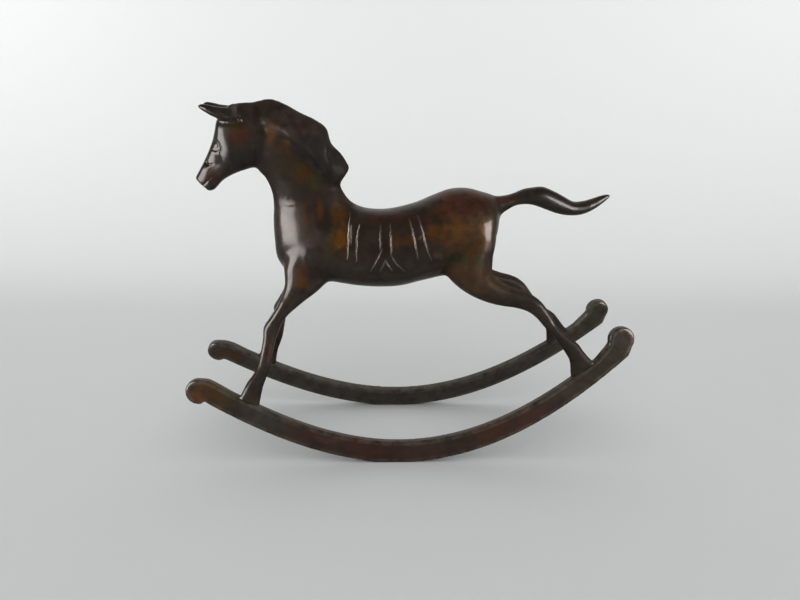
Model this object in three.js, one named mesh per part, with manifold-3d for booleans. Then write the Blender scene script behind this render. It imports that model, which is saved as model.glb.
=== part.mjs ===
// A small brass horse cast in one piece, brazed by its four hooves to two rockers.
// Millimetres, +Z up. The horse faces -X and its left side looks towards -Y.
// Heights are above the floor and x runs from the point where the rockers touch it.
import * as THREE from 'three';
import { mergeVertices } from 'three/addons/utils/BufferGeometryUtils.js';
import Module from 'manifold-3d';

const wasm = await Module();
wasm.setup();

// Rockers: flat bars on edge, leaning in towards the horse
const trackWidth = 66.7;
const rockerLean = THREE.MathUtils.degToRad(8.5);
const barThickness = 5.2;
const barFace = { front: 11.9, middle: 12.3, rear: 11 };
const restFlat = { from: -13, to: 4 };
const facetStep = 8.6;

// The running edge: its radius where it rests, and its rise 100 mm to the front and rear
const runningRadius = 137;
const riseReach = 100;
const frontRise = 31.6;
const rearRise = 38.4;

// Scrolled ends, in the plane of a rocker; the right rocker's are a little smaller
const leftKnobRadius = 7.2;
const rightKnobRadius = 6.6;
const frontKnob = { x: -111.8, h: 42.3 };
const rearKnob = { x: 124.4, h: 72.9 };
const barStart = -106;
const barEnd = 129;
const middleOfLength = 6.25;

// Feet on the rockers: where each foot starts and ends along the running edge.
// The right legs were set a little closer together: each of them slides by its bend shift,
// starting at one height and complete at the other, and by its foot shift at the foot.
const frontFoot = { from: -95, to: -84.3, bendShift: 2.1, footShift: 2.1, slideFrom: 94, slideTo: 64 };
const hindFoot = { from: 104.8, to: 116.3, bendShift: -3.6, footShift: -2, slideFrom: 106, slideTo: 94 };
const footHeight = 46;
const footHalfWidth = 2.6;
const jointGap = 0.3;

// Each row of a loft is one cross-section:
// upper point x, z, lower point x, z, middle across the horse, half width, droop.
// Droop moves the widest part towards the lower point.

const neckAndTrunk = [
  [-58, 192, -83, 172, 0, 6, 0],
  [-52.5, 186.5, -77.9, 161.8, 0, 6.4, 0],
  [-47, 179.5, -73, 156.2, 0, 6.8, 0],
  [-42, 170.5, -70, 148.6, 0, 7.3, 0],
  [-37, 160.7, -69.3, 141, 0, 8.5, 0],
  [-32.3, 151.3, -69.8, 133, 0, 10.7, 0],
  [-28.5, 144.8, -69.6, 122, 0, 13, 0],
  [-22.5, 140.9, -67.9, 110.4, 0, 15, -0.15],
  [-15.5, 139.5, -59, 101.3, 0, 16.6, 0],
  [-8, 139.5, -40, 99.1, 0, 17.6, 0.08],
  [0, 141, -20, 96.4, 0, 18.4, 0.1],
  [9, 143.8, -2, 96.4, 0, 18.8, 0.08],
  [18, 147.8, 12, 99.6, 0, 19.2, 0.05],
  [27, 151.2, 24, 102.4, 0, 19.8, 0],
  [36, 151.8, 36, 104.2, 0, 19.8, 0],
  [44.5, 149.9, 45.2, 108, 0, 18.2, 0],
  [51.2, 147.9, 49.6, 114, 0, 14.5, 0],
  [54.3, 144.5, 51.8, 120, 0, 9, 0],
];

const head = [
  [-76, 194.9, -72, 172, 0, 6.5, 0],
  [-84, 195.4, -75.2, 164.2, 0, 7.4, 0],
  [-91, 193.4, -79.7, 161.7, 0, 7.9, 0],
  [-96, 188, -84.7, 160.3, 0, 7.8, 0],
  [-97.9, 182.1, -89.1, 158.6, 0, 7.1, 0],
  [-99.4, 176.9, -92.5, 156.9, 0, 6.3, 0],
  [-101.7, 171.4, -95.5, 155, 0, 5.5, 0],
  [-104.5, 165.8, -98.1, 152.4, 0, 4.9, 0],
  [-107.4, 160.7, -100.5, 150, 0, 4.6, 0],
  [-110, 156.7, -102.9, 149.1, 0, 4, 0],
];

const ear = [
  [-84, 192.8, -86, 184.3, 4.6, 3.4, 0],
  [-91, 193.3, -93.5, 187, 5, 3.3, 0],
  [-96.5, 193.9, -98.3, 188.9, 5.4, 2.8, 0],
  [-100.8, 194.8, -101.8, 191, 5.7, 2.1, 0],
  [-103.8, 195, -104, 192.4, 5.9, 1.3, 0],
];

const mane = [
  [-86.5, 195, -82, 187.5, 0, 4.4, 0.3],
  [-78, 195.7, -74, 182.5, 0, 5.8, 0.4],
  [-69, 197.4, -66, 179.3, 0, 6.8, 0.5],
  [-61, 194.8, -60.5, 176.5, 0, 7.3, 0.5],
  [-53.6, 190.8, -54.8, 173, 0, 7.6, 0.5],
  [-46.3, 187.5, -49.8, 168.2, 0, 7.8, 0.5],
  [-40.2, 183, -45.4, 163.3, 0, 8, 0.5],
  [-37.7, 175.3, -41.5, 158.8, 0, 8, 0.5],
  [-32.2, 169.3, -37.8, 154.8, 0, 7.6, 0.4],
  [-28.3, 162.8, -35.2, 153, 0, 6, 0.2],
];

const tail = [
  [49, 147.3, 49, 134, 0, 7, 0],
  [56.8, 148.2, 56.6, 138.2, 0, 5.4, 0],
  [62, 149.5, 62.5, 142.1, 0, 4.5, 0],
  [67, 151.7, 67.5, 143.4, 0, 4.6, 0],
  [72, 152.7, 72.5, 143.1, 0, 5.2, 0],
  [78, 153.1, 77, 141.8, 0, 5.6, 0],
  [84, 150.9, 81.5, 140.2, 0, 5.5, 0],
  [89.5, 148.2, 87.5, 138.3, 0, 5.2, 0],
  [95.5, 145.2, 94.5, 137.4, 0, 4.8, 0],
  [101, 145.4, 101, 138.1, 0, 4.3, 0],
  [106.5, 147.1, 107, 140.8, 0, 3.6, 0],
  [111, 148.7, 112, 144.6, 0, 2.5, 0],
  [115, 149.5, 115.3, 147.6, 0, 1.1, 0],
];

// The legs are given for one side, with the middle measured outwards
const frontLeg = [
  [-36, 118, -61, 118, 5.5, 8, 0],
  [-38.4, 106, -64.2, 109, 6.8, 7.8, 0],
  [-42.2, 98.3, -63.9, 101, 8.8, 6.6, 0],
  [-52.1, 90.8, -65, 95.4, 11.2, 5.4, 0],
  [-61, 84, -67.7, 88.6, 13.5, 4.5, 0],
  [-65.6, 78.1, -72.6, 80.9, 15, 4.1, 0],
  [-67.6, 73.5, -75.8, 75.9, 16, 4, 0],
  [-69.5, 68.4, -76.1, 70.3, 17.6, 3.5, 0],
  [-71.1, 61.8, -77.4, 63.2, 19.7, 3.1, 0],
  [-72.8, 54.1, -79.5, 55, 22.2, 3, 0],
  [-74.6, 48.6, -81.9, 50.2, 24, 3.1, 0],
  [-76.6, 43, -85.3, 45.9, 25.6, 2.9, 0],
];

const hindLeg = [
  [49.4, 140, 24.4, 118, 8, 10.5, 0],
  [51.9, 126, 25.1, 107, 9.6, 11, 0],
  [50.9, 114, 29.1, 101.5, 10.8, 10, 0],
  [51.3, 106.2, 36.1, 96.3, 11.8, 8.6, 0],
  [57.8, 101.2, 44.2, 92.4, 12.8, 7, 0],
  [64.6, 98.4, 54.2, 89.5, 13.8, 5.7, 0],
  [70.5, 96.7, 64.1, 88.2, 14.8, 4.8, 0],
  [75.6, 94.2, 71.4, 86.2, 15.8, 4.4, 0],
  [80, 90.5, 76.4, 82.8, 17, 4.1, 0],
  [84.1, 84.9, 81, 78, 18.6, 3.7, 0],
  [88.3, 78.5, 86.1, 72.9, 20.3, 3.4, 0],
  [94, 73.6, 90.7, 67.6, 21.8, 3.3, 0],
  [100.3, 69, 94.2, 62.7, 23, 3.3, 0],
  [103.8, 64.6, 96.4, 58.6, 24, 3, 0],
];

// Height of the running edge above the floor, in the plane of a rocker
function runningEdge(x) {
  const round = (reach) => reach * reach / (2 * runningRadius);
  const skew = (rearRise - frontRise) / 2;
  const flattening = (rearRise + frontRise) / 2 - round(riseReach);
  const t = x / riseReach;
  return round(x) + skew * t ** 3 + flattening * t ** 4;
}

// Point on the top edge of the bar, square above x on the running edge
function topEdge(x, extra = 0) {
  const slope = runningEdge(x + 0.5) - runningEdge(x - 0.5);
  const end = x < 0 ? barFace.front : barFace.rear;
  const face = barFace.middle + (end - barFace.middle) * (x / riseReach) ** 2;
  const reach = (face + extra) / Math.hypot(1, slope);
  return { x: x - slope * reach, h: runningEdge(x) + reach };
}

function arcPoints(centre, radius, fromDegrees, toDegrees, count) {
  const points = [];
  for (let i = 0; i <= count; i++) {
    const a = THREE.MathUtils.degToRad(fromDegrees + (toDegrees - fromDegrees) * i / count);
    points.push({ x: centre.x + radius * Math.cos(a), h: centre.h + radius * Math.sin(a) });
  }
  return points;
}

// Outline of a rocker in its own plane, anticlockwise from the front end of the running edge
function rockerOutline(side) {
  const knobRadius = side < 0 ? leftKnobRadius : rightKnobRadius;
  const running = [restFlat.from, restFlat.to];
  for (let x = restFlat.from - facetStep; x > barStart + facetStep / 2; x -= facetStep) running.unshift(x);
  for (let x = restFlat.to + facetStep; x < barEnd - facetStep / 2; x += facetStep) running.push(x);
  const under = [barStart, ...running, barEnd].map((x) => {
    const flat = x === restFlat.from || x === restFlat.to;
    return { x, h: flat ? 0 : runningEdge(x), under: true };
  });
  const rear = arcPoints(rearKnob, knobRadius, -28, 196, 12);
  rear.push({ x: 116.6, h: 69 });
  const top = [];
  for (let x = 118; x > -100; x -= facetStep) top.push(topEdge(x));
  top.push(topEdge(-101.5), { x: -102, h: 46.8 }, { x: -106, h: frontKnob.h + knobRadius - 0.6 });
  const front = arcPoints(frontKnob, knobRadius, 88, 284, 11);
  front.push({ x: -108.8, h: 36.9 });
  return [...under, ...rear, ...top, ...front];
}

// A point of a rocker's plane in space; out is the distance from the bar's middle plane
function inSpace(point, out, side) {
  const across = trackWidth / 2 - point.h * Math.sin(rockerLean) + out * Math.cos(rockerLean);
  const up = point.h * Math.cos(rockerLean) + out * Math.sin(rockerLean);
  return [point.x, side * across, up];
}

// The bar is square cut, but its running edge is dressed level
function rocker(side) {
  const outline = rockerOutline(side);
  const positions = [];
  for (const out of [-barThickness / 2, barThickness / 2]) {
    for (const point of outline) {
      const level = point.under ? -out * Math.tan(rockerLean) : 0;
      positions.push(...inSpace({ x: point.x, h: point.h + level }, out, side));
    }
  }
  const flat = outline.map((point) => new THREE.Vector2(point.x, point.h));
  const index = [];
  const n = outline.length;
  for (const [a, b, c] of THREE.ShapeUtils.triangulateShape(flat, [])) {
    index.push(a, b, c, n + c, n + b, n + a);
  }
  for (let i = 0; i < n; i++) {
    const next = (i + 1) % n;
    index.push(i, n + next, next, i, n + i, n + next);
  }
  return solid(positions, index);
}

function solid(positions, index) {
  const geometry = new THREE.BufferGeometry();
  geometry.setAttribute('position', new THREE.Float32BufferAttribute(positions, 3));
  geometry.setIndex(index);
  if (signedVolume(geometry) < 0) {
    for (let i = 0; i < index.length; i += 3) [index[i], index[i + 1]] = [index[i + 1], index[i]];
    geometry.setIndex(index);
  }
  const merged = mergeVertices(geometry, 1e-4);
  return new wasm.Manifold(new wasm.Mesh({
    numProp: 3,
    vertProperties: new Float32Array(merged.attributes.position.array),
    triVerts: new Uint32Array(merged.index.array),
  }));
}

function signedVolume(geometry) {
  const p = geometry.attributes.position;
  const corner = [new THREE.Vector3(), new THREE.Vector3(), new THREE.Vector3()];
  let volume = 0;
  for (let i = 0; i < geometry.index.count; i += 3) {
    corner.forEach((v, k) => v.fromBufferAttribute(p, geometry.index.getX(i + k)));
    volume += corner[0].dot(corner[1].cross(corner[2])) / 6;
  }
  return volume;
}

// Smooth values between the rows of a loft
function rowAt(rows, position) {
  const last = rows.length - 1;
  const i = Math.min(Math.floor(position), last - 1);
  const t = position - i;
  const [a, b, c, d] = [Math.max(i - 1, 0), i, i + 1, Math.min(i + 2, last)].map((k) => rows[k]);
  return b.map((v, k) => {
    const before = (c[k] - a[k]) / 2;
    const after = (d[k] - b[k]) / 2;
    const turn = 3 * (c[k] - v) - 2 * before - after;
    const ease = 2 * (v - c[k]) + before + after;
    return v + t * (before + t * (turn + t * ease));
  });
}

// One cross-section: a drooping oval; tilt turns its width up on the outside
function ring(row, side, sides, shrink, shift) {
  const [topX, topZ, lowX, lowZ, middle, half, droop, tilt = 0] = row;
  const points = [];
  for (let k = 0; k < sides; k++) {
    const a = 2 * Math.PI * (k + 0.5) / sides;
    const along = Math.cos(a) * shrink;
    const out = half * Math.sin(a) * (1 - droop * Math.cos(a)) * shrink;
    points.push([
      (topX + lowX) / 2 + (topX - lowX) / 2 * along + shift.x,
      side * (middle + out * Math.cos(tilt)) + shift.y,
      (topZ + lowZ) / 2 + (topZ - lowZ) / 2 * along + out * Math.sin(tilt) + shift.z,
    ]);
  }
  return points;
}

// Solid through the rows, closed by a dome of the given height at each end
function loft(rows, { side = 1, sides, steps = 2, domes }) {
  const rings = [];
  const still = new THREE.Vector3();
  const centre = (row) => new THREE.Vector3((row[0] + row[2]) / 2, side * row[4], (row[1] + row[3]) / 2);
  const domeAt = (end, inner, height) => {
    const direction = centre(end).sub(centre(inner)).normalize();
    return [30, 60, 84].map((degrees) => {
      const a = THREE.MathUtils.degToRad(degrees);
      return ring(end, side, sides, Math.cos(a), direction.clone().multiplyScalar(height * Math.sin(a)));
    });
  };
  const last = rows.length - 1;
  if (domes[0] > 0) rings.push(...domeAt(rows[0], rows[1], domes[0]).reverse());
  for (let k = 0; k <= last * steps; k++) {
    rings.push(ring(rowAt(rows, k / steps), side, sides, 1, still));
  }
  if (domes[1] > 0) rings.push(...domeAt(rows[last], rows[last - 1], domes[1]));
  const positions = rings.flat(2);
  const index = [];
  for (let r = 0; r + 1 < rings.length; r++) {
    for (let k = 0; k < sides; k++) {
      const a = r * sides + k;
      const b = r * sides + (k + 1) % sides;
      index.push(a, b, a + sides, b, b + sides, a + sides);
    }
  }
  const end = (rings.length - 1) * sides;
  for (let k = 1; k + 1 < sides; k++) {
    index.push(0, k + 1, k, end, end + k, end + k + 1);
  }
  return solid(positions, index);
}

// The last row of a leg lies on top of its rocker, a joint's gap above it
function footRow(foot, shift) {
  const low = topEdge(foot.from + shift, jointGap);
  const top = topEdge(foot.to + shift, jointGap);
  const across = trackWidth / 2 - (low.h + top.h) / 2 * Math.sin(rockerLean);
  const up = Math.cos(rockerLean);
  return [top.x, top.h * up, low.x, low.h * up, across, footHalfWidth, 0, rockerLean];
}

// How far a right leg has slid at a height
function slideAt(height, foot) {
  const { smoothstep } = THREE.MathUtils;
  const bend = foot.bendShift * (1 - smoothstep(height, foot.slideTo, foot.slideFrom));
  const back = (foot.footShift - foot.bendShift) * (1 - smoothstep(height, footHeight, foot.slideTo));
  return bend + back;
}

function legRows(leg, foot, side) {
  const rows = leg.map((row) => {
    const slide = side > 0 ? slideAt((row[1] + row[3]) / 2, foot) : 0;
    return [row[0] + slide, row[1], row[2] + slide, ...row.slice(3), 0];
  });
  return [...rows, footRow(foot, side > 0 ? foot.footShift : 0)];
}

function horse() {
  const pieces = [
    loft(neckAndTrunk, { sides: 26, domes: [3, 1.2] }),
    loft(head, { sides: 18, domes: [3, 1.4] }),
    loft(mane, { sides: 16, domes: [2, 1.2] }),
    loft(tail, { sides: 12, domes: [1, 0.9] }),
  ];
  for (const side of [-1, 1]) {
    pieces.push(
      loft(ear, { side, sides: 10, domes: [1, 0.8] }),
      loft(legRows(frontLeg, frontFoot, side), { side, sides: 14, domes: [3, 0] }),
      loft(legRows(hindLeg, hindFoot, side), { side, sides: 14, domes: [3, 0] }),
    );
  }
  return pieces.reduce((whole, piece) => whole.add(piece));
}

function meshOf(name, body, material) {
  const { vertProperties, triVerts } = body.getMesh();
  const geometry = new THREE.BufferGeometry();
  geometry.setAttribute('position', new THREE.BufferAttribute(new Float32Array(vertProperties), 3));
  geometry.setIndex(new THREE.BufferAttribute(new Uint32Array(triVerts), 1));
  geometry.computeVertexNormals();
  const mesh = new THREE.Mesh(geometry, material);
  mesh.name = name;
  return mesh;
}

const brass = new THREE.MeshStandardMaterial({
  name: 'brass',
  color: 0x4a3a2a,
  metalness: 0.8,
  roughness: 0.4,
  flatShading: true,
});

const root = new THREE.Group();
root.name = 'rocking_horse';
root.add(meshOf('horse', horse(), brass));
root.add(meshOf('left_rocker', rocker(-1), brass));
root.add(meshOf('right_rocker', rocker(1), brass));

// The origin moves to the floor under the middle of the whole length
for (const mesh of root.children) mesh.geometry.translate(-middleOfLength, 0, 0);

export default root;
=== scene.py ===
# %% [markdown]
# # A small brass rocking horse
#
# The real thing is a table ornament. The horse is one solid casting, and its four hooves are brazed to
# two curved bars that form the rockers. The whole has a dark brown patina, and the metal glows amber
# through it on the shoulder, the neck and the hip.
#
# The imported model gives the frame: where everything is, and how large. This lesson dresses it.
# The scene is in metres, with +Z up. The horse faces -X and its left side looks towards -Y. The tables
# are in millimetres, because that is how a maker measures such a piece.

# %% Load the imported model
import math

import bmesh
import bpy
import numpy as np
from mathutils import Matrix, Vector
from mathutils.bvhtree import BVHTree
from mathutils.kdtree import KDTree


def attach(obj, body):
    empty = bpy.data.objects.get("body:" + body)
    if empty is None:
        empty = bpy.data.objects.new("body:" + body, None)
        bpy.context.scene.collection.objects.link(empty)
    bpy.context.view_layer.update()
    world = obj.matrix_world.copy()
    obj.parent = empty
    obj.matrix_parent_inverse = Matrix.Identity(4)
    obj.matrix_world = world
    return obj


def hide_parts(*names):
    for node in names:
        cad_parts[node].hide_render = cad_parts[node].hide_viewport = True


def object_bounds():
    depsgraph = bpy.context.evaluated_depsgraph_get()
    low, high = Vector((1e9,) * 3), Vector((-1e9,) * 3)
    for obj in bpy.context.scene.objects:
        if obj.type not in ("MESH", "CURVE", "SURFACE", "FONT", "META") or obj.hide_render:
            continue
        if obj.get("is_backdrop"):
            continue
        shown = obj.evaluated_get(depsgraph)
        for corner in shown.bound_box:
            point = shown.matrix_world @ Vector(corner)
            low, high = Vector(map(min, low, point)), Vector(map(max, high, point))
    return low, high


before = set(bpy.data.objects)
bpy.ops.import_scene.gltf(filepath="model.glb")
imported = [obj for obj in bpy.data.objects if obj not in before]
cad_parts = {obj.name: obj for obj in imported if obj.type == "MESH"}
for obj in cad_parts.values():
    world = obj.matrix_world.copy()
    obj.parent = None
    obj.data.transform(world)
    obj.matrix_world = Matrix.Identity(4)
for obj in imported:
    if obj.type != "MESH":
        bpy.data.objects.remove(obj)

CAD_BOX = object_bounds()
MM = 0.001
print("CAD box in mm:", [[round(c / MM, 1) for c in corner] for corner in CAD_BOX])

# %% [markdown]
# ## The camera first
#
# The picture was taken from a little above, almost square to the left side. A short lens makes the near
# rocker look larger than the far one, so the distance matters as much as the direction. The camera's
# place follows from the two rockers, taken as mirror images on a flat floor. That fixes the direction
# well and the length of the lens less well.

# %% Camera
CAMERA_PLACE = Vector((-22.70, -377.78, 230.19)) * MM
CAMERA_TURN = 0.04503
CAMERA_DIP = 0.36355
CAMERA_ROLL = -0.02054
LENS = 31.5
SENSOR_WIDTH = 36


def camera_axes(turn, dip, roll):
    """The camera's right, up and forward directions for a turn, a dip and a roll in radians."""
    level = Vector((math.cos(turn), -math.sin(turn), 0))
    rise = Vector((math.sin(dip) * math.sin(turn), math.sin(dip) * math.cos(turn), math.cos(dip)))
    forward = Vector((math.cos(dip) * math.sin(turn), math.cos(dip) * math.cos(turn), -math.sin(dip)))
    right = math.cos(roll) * level - math.sin(roll) * rise
    up = math.sin(roll) * level + math.cos(roll) * rise
    return right, up, forward


camera_data = bpy.data.cameras.new("camera")
camera_data.lens = LENS
camera_data.sensor_width = SENSOR_WIDTH
camera = bpy.data.objects.new("camera", camera_data)
bpy.context.scene.collection.objects.link(camera)
right, up, forward = camera_axes(CAMERA_TURN, CAMERA_DIP, CAMERA_ROLL)
axes = Matrix((right, up, -forward)).transposed().to_4x4()
camera.matrix_world = Matrix.Translation(CAMERA_PLACE) @ axes
bpy.context.scene.camera = camera
print("camera height above the floor in mm:", round(CAMERA_PLACE.z / MM))

# %% [markdown]
# ## Cross-sections
#
# A carver thinks of a horse in slices. Each row below is one slice: its upper point x and z, its lower
# point x and z, the middle across the horse, half its width, and a droop that moves the widest part
# down. In the rows and in the rockers' numbers, x runs from the point where the rockers touch the floor,
# which lies a little in front of the middle of the whole length. In the scene, and in the tables of
# forms, lines and patches, x runs from that middle. A curve through the rows fills in the slices
# between them.

# %% Rows to a smooth skin
MIDDLE_OF_LENGTH = 6.25
SLICES = 8
AROUND = 72
DOME_ANGLES = (15, 30, 45, 60, 75, 86)


def rows_between(rows, steps=SLICES):
    """Slices on a smooth curve through the rows, with steps of them for each row."""
    rows = np.array(rows, float)
    last = len(rows) - 1
    filled = []
    for k in range(last * steps + 1):
        i = min(k // steps, last - 1)
        t = k / steps - i
        a, b, c, d = rows[max(i - 1, 0)], rows[i], rows[i + 1], rows[min(i + 2, last)]
        before = (c - a) / 2
        after = (d - b) / 2
        turn = 3 * (c - b) - 2 * before - after
        ease = 2 * (b - c) + before + after
        filled.append(b + t * (before + t * (turn + t * ease)))
    return np.array(filled)


def slice_points(row, side, square, shrink=1.0):
    """The outline of one slice. square above 2 fills out its corners."""
    top_x, top_z, low_x, low_z, middle, half, droop, tilt = row
    angle = 2 * np.pi * (np.arange(AROUND) + 0.5) / AROUND
    along = np.sign(np.cos(angle)) * np.abs(np.cos(angle)) ** (2 / square) * shrink
    across = np.sign(np.sin(angle)) * np.abs(np.sin(angle)) ** (2 / square) * shrink
    out = half * across * (1 - droop * along)
    x = (top_x + low_x) / 2 + (top_x - low_x) / 2 * along
    y = side * (middle + out * math.cos(tilt))
    z = (top_z + low_z) / 2 + (top_z - low_z) / 2 * along + out * math.sin(tilt)
    return np.stack([x, y, z], axis=1)


def skin(rows, side=1, domes=(0, 0), square=(2.0, 2.0)):
    """A closed skin over the rows, with a dome at each end. The values of square are spread along it."""
    rows = [list(row) + [0] * (8 - len(row)) for row in rows]
    filled = rows_between(rows)
    squares = np.interp(np.linspace(0, len(square) - 1, len(filled)), range(len(square)), square)
    rings = [slice_points(row, side, form) for row, form in zip(filled, squares)]

    def dome(end, inner, form, height):
        centre = slice_points(end, side, form).mean(axis=0)
        away = centre - slice_points(inner, side, form).mean(axis=0)
        away /= np.linalg.norm(away)
        steps = np.radians(DOME_ANGLES)
        return [slice_points(end, side, form, math.cos(a)) + away * height * math.sin(a) for a in steps]

    front = dome(filled[0], filled[1], square[0], domes[0])[::-1]
    rear = dome(filled[-1], filled[-2], square[-1], domes[1])
    rings = front + rings + rear
    points = np.concatenate(rings)
    faces = []
    for r in range(len(rings) - 1):
        for k in range(AROUND):
            a = r * AROUND + k
            b = r * AROUND + (k + 1) % AROUND
            faces.append((a, b, b + AROUND, a + AROUND))
    last = (len(rings) - 1) * AROUND
    faces.append(tuple(range(AROUND))[::-1])
    faces.append(tuple(range(last, last + AROUND)))
    return points, faces


print("slices between two rows:", SLICES, "points around a slice:", AROUND)

# %% [markdown]
# ## The rows of the horse
#
# The neck and trunk are one long skin, from the poll down to the chest and back to the rump. Head,
# mane, tail, ears and legs are skins of their own that run into it.

# %% Neck, trunk, head and mane
NECK_AND_TRUNK = [
    (-58, 192, -83, 172, 0, 6, 0),
    (-52.5, 186.5, -77.9, 161.8, 0, 6.4, 0),
    (-47, 179.5, -73, 156.2, 0, 6.8, 0),
    (-42, 170.5, -70, 148.6, 0, 7.3, 0),
    (-37, 160.7, -69.3, 141, 0, 8.5, 0),
    (-32.3, 151.3, -69.8, 133, 0, 10.7, 0),
    (-28.5, 144.8, -69.6, 122, 0, 13, 0),
    (-22.5, 140.9, -67.9, 110.4, 0, 15, -0.15),
    (-15.5, 139.5, -59, 101.3, 0, 16.6, 0),
    (-8, 139.5, -40, 99.1, 0, 17.6, 0.08),
    (0, 141, -20, 96.4, 0, 18.4, 0.1),
    (9, 143.8, -2, 96.4, 0, 18.8, 0.08),
    (18, 147.8, 12, 99.6, 0, 19.2, 0.05),
    (27, 151.2, 24, 102.4, 0, 19.8, 0),
    (36, 151.8, 36, 104.2, 0, 19.8, 0),
    (44.5, 149.9, 45.2, 108, 0, 18.2, 0),
    (51.2, 147.9, 49.6, 114, 0, 14.5, 0),
    (54.3, 144.5, 51.8, 120, 0, 9, 0),
]
HEAD = [
    (-76, 194.9, -72, 172, 0, 6.5, 0),
    (-84, 195.4, -75.2, 164.2, 0, 7.4, 0),
    (-91, 193.4, -79.7, 161.7, 0, 7.9, 0),
    (-96, 188, -84.7, 160.3, 0, 7.8, 0),
    (-97.9, 182.1, -89.1, 158.6, 0, 7.1, 0),
    (-99.4, 176.9, -92.5, 156.9, 0, 6.3, 0),
    (-101.7, 171.4, -95.5, 155, 0, 5.5, 0),
    (-104.5, 165.8, -98.1, 152.4, 0, 4.9, 0),
    (-107.4, 160.7, -100.5, 150, 0, 4.6, 0),
    (-110, 156.7, -102.9, 149.1, 0, 4, 0),
]
EAR = [
    (-84, 192.8, -86, 184.3, 4.6, 3.4, 0),
    (-91, 193.3, -93.5, 187, 5, 3.3, 0),
    (-96.5, 193.9, -98.3, 188.9, 5.4, 2.8, 0),
    (-100.8, 194.8, -101.8, 191, 5.7, 2.1, 0),
    (-103.8, 195, -104, 192.4, 5.9, 1.3, 0),
]
MANE = [
    (-86.5, 195, -82, 187.5, 0, 4.4, 0.3),
    (-78, 195.7, -74, 182.5, 0, 5.8, 0.4),
    (-69, 197.4, -66, 179.3, 0, 6.8, 0.5),
    (-61, 194.8, -60.5, 176.5, 0, 7.3, 0.5),
    (-53.6, 190.8, -54.8, 173, 0, 7.6, 0.5),
    (-46.3, 187.5, -49.8, 168.2, 0, 7.8, 0.5),
    (-40.2, 183, -45.4, 163.3, 0, 8, 0.5),
    (-37.7, 175.3, -41.5, 158.8, 0, 8, 0.5),
    (-32.2, 169.3, -37.8, 154.8, 0, 7.6, 0.4),
    (-28.3, 162.8, -35.2, 153, 0, 6, 0.2),
]
TAIL = [
    (49, 147.3, 49, 134, 0, 7, 0),
    (56.8, 148.2, 56.6, 138.2, 0, 5.4, 0),
    (62, 149.5, 62.5, 142.1, 0, 4.5, 0),
    (67, 151.7, 67.5, 143.4, 0, 4.6, 0),
    (72, 152.7, 72.5, 143.1, 0, 5.2, 0),
    (78, 153.1, 77, 141.8, 0, 5.6, 0),
    (84, 150.9, 81.5, 140.2, 0, 5.5, 0),
    (89.5, 148.2, 87.5, 138.3, 0, 5.2, 0),
    (95.5, 145.2, 94.5, 137.4, 0, 4.8, 0),
    (101, 145.4, 101, 138.1, 0, 4.3, 0),
    (106.5, 147.1, 107, 140.8, 0, 3.6, 0),
    (111, 148.7, 112, 144.6, 0, 2.5, 0),
    (115, 149.5, 115.3, 147.6, 0, 1.1, 0),
]
print("rows:", len(NECK_AND_TRUNK), "trunk,", len(HEAD), "head,", len(MANE), "mane,", len(TAIL), "tail")

# %% Legs, given for one side, with the middle measured outwards
FRONT_LEG = [
    (-36, 118, -61, 118, 5.5, 8),
    (-38.4, 106, -64.2, 109, 6.8, 7.8),
    (-42.2, 98.3, -63.9, 101, 8.8, 6.6),
    (-52.1, 90.8, -65, 95.4, 11.2, 5.4),
    (-61, 84, -67.7, 88.6, 13.5, 4.5),
    (-65.6, 78.1, -72.6, 80.9, 15, 4.1),
    (-67.6, 73.5, -75.8, 75.9, 16, 4),
    (-69.5, 68.4, -76.1, 70.3, 17.6, 3.5),
    (-71.1, 61.8, -77.4, 63.2, 19.7, 3.1),
    (-72.8, 54.1, -79.5, 55, 22.2, 3),
    (-74.6, 48.6, -81.9, 50.2, 24, 3.1),
    (-76.6, 43, -85.3, 45.9, 25.6, 2.9),
]
HIND_LEG = [
    (49.4, 140, 24.4, 118, 8, 10.5),
    (51.9, 126, 25.1, 107, 9.6, 11),
    (50.9, 114, 29.1, 101.5, 10.8, 10),
    (51.3, 106.2, 36.1, 96.3, 11.8, 8.6),
    (57.8, 101.2, 44.2, 92.4, 12.8, 7),
    (64.6, 98.4, 54.2, 89.5, 13.8, 5.7),
    (70.5, 96.7, 64.1, 88.2, 14.8, 4.8),
    (75.6, 94.2, 71.4, 86.2, 15.8, 4.4),
    (80, 90.5, 76.4, 82.8, 17, 4.1),
    (84.1, 84.9, 81, 78, 18.6, 3.7),
    (88.3, 78.5, 86.1, 72.9, 20.3, 3.4),
    (94, 73.6, 90.7, 67.6, 21.8, 3.3),
    (100.3, 69, 94.2, 62.7, 23, 3.3),
    (103.8, 64.6, 96.4, 58.6, 24, 3),
]
print("rows:", len(FRONT_LEG), "front leg,", len(HIND_LEG), "hind leg")

# %% [markdown]
# ## The rule behind the rockers
#
# A rocker is a bar bent on edge. Its running edge is a shallow curve: close to a circle where it rests,
# and a little straighter and steeper towards the ends. The bar leans in towards the horse, and ends in
# a round scroll at each tip. The feet stand on its top edge, so the rule comes before the legs.

# %% The running edge and the top edge
TRACK_WIDTH = 66.7
LEAN = math.radians(8.5)
BAR_THICKNESS = 5.2
BAR_FACE_FRONT = 11.9
BAR_FACE_MIDDLE = 12.3
BAR_FACE_REAR = 11.0
RUNNING_RADIUS = 137
RISE_REACH = 100
FRONT_RISE = 31.6
REAR_RISE = 38.4
REST_FLAT = (-13, 4)


def running_edge(x):
    """Height of the running edge above the floor, in the plane of the rocker, in mm."""
    t = x / RISE_REACH
    round_rise = x * x / (2 * RUNNING_RADIUS)
    skew = (REAR_RISE - FRONT_RISE) / 2 * t ** 3
    flattening = ((REAR_RISE + FRONT_RISE) / 2 - RISE_REACH ** 2 / (2 * RUNNING_RADIUS)) * t ** 4
    return round_rise + skew + flattening


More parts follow.
